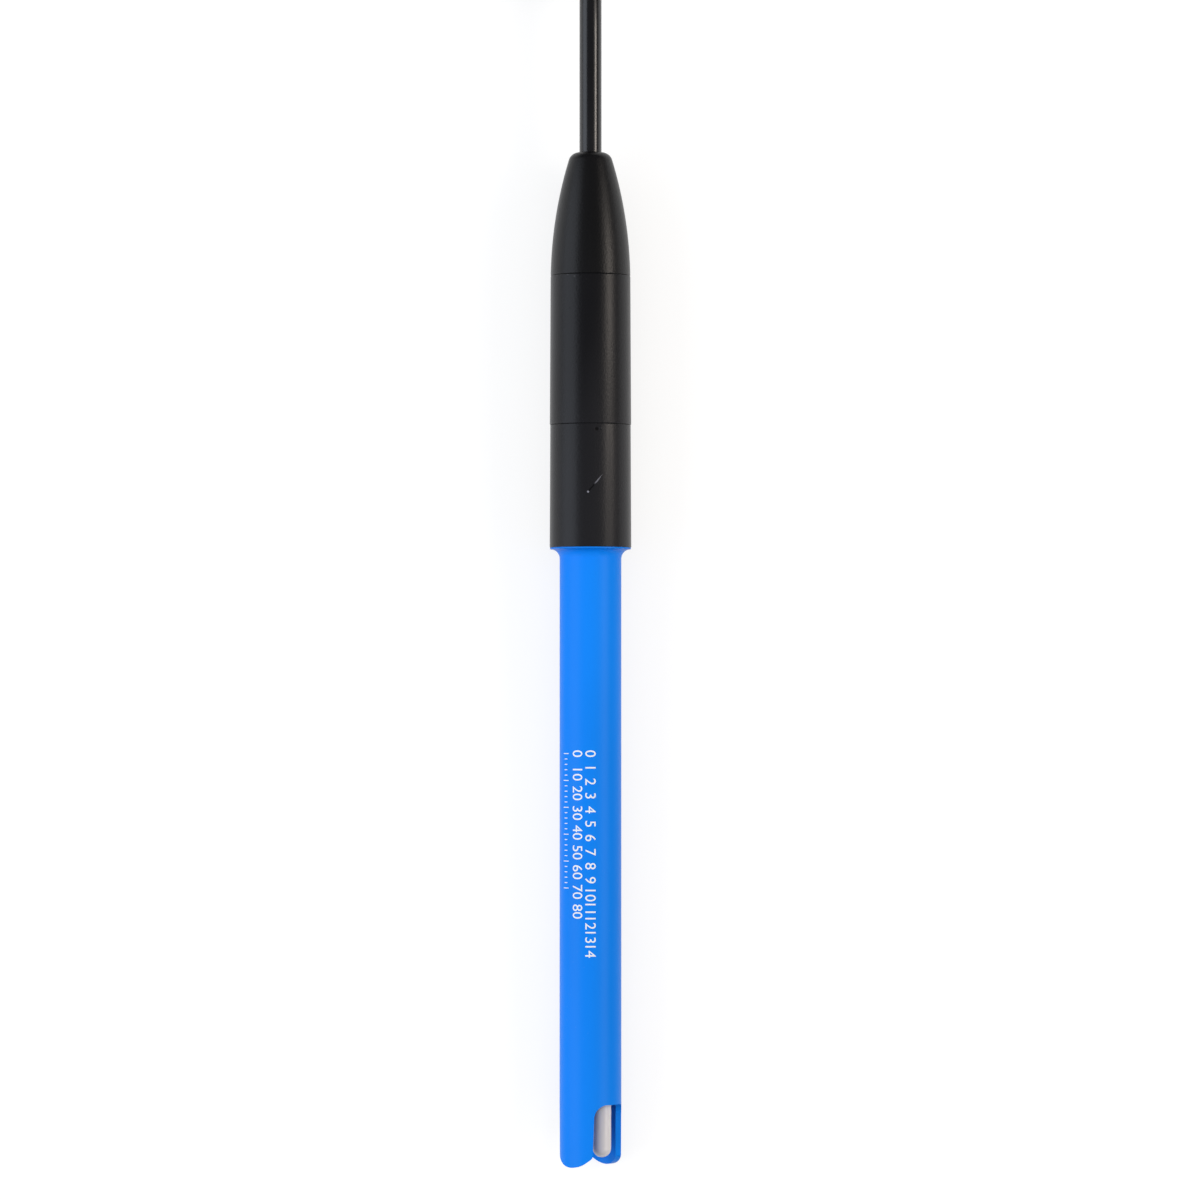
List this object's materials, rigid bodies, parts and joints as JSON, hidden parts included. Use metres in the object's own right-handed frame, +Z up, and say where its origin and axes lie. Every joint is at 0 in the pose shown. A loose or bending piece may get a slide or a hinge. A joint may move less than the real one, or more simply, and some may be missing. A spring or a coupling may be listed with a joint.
{
  "type": "ph electrode",
  "caption": "Slim laboratory pH electrode with a blue plastic shaft, a guarded glass membrane, a black head with an ogive boot and a fixed cable with a round plug.",
  "frame": {"origin": "centre of the lying electrode's box, cable apart, on the surface it lies on", "axes": "+Y along the electrode from its tip to its cable, +Z up"},
  "size_m": [0.0444, 0.3308, 0.027],
  "materials": {
    "blue_plastic": "satin moulded",
    "black_plastic": "satin moulded",
    "black_rubber": "satin",
    "cable_jacket": "glossy",
    "membrane_glass": "polished",
    "clear_liquid": "clear",
    "clear_gel": "clear",
    "seal_resin": "matt",
    "fibre": "fibrous",
    "silver": "drawn",
    "steel": "satin",
    "copper": "drawn",
    "board": "solder resist",
    "chip": "moulded",
    "white_plastic": "moulded",
    "gold": "plated",
    "coupling_metal": "nickel",
    "strap": "woven"
  },
  "bodies": {
    "electrode": {"shaft_tube": "blue_plastic", "glass_electrode": "membrane_glass", "inner_buffer": "clear_liquid", "silver_wire": "silver", "glass_stopper": "white_plastic", "temperature_tube": "steel", "thermistor_bead": "chip", "thermistor_leads": "copper", "tip_seal": "seal_resin", "fibre_junction": "fibre", "gel_electrolyte": "clear_gel", "upper_seal": "black_rubber", "reference_wire": "silver", "head_sleeve": "black_plastic", "head_barrel": "black_plastic", "boot_cap": "black_rubber", "lower_o_ring": "black_rubber", "upper_o_ring": "black_rubber", "circuit_board": "board", "board_carrier": "white_plastic", "converter_chip": "chip", "memory_chip": "chip", "board_socket": "white_plastic", "board_chips": "chip", "conductor_leads": "copper", "cable_crimp": "steel", "cable_lead": "cable_jacket", "cable_tail": "cable_jacket", "cable_hank": "cable_jacket", "hank_tie": "strap", "plug_relief": "black_rubber", "plug_body": "black_plastic", "plug_insert": "white_plastic", "plug_pins": "gold", "ring_retainer": "steel", "plug_seal": "black_rubber"},
    "coupling": {"coupling_ring": "coupling_metal"}
  },
  "joints": [
    {"name": "coupling_spin", "type": "hinge", "parent": "electrode", "child": "coupling", "pos_m": [-0.0142, 0.22101, 0.02055], "axis": [0, 1, 0], "continuous": true}
  ]
}
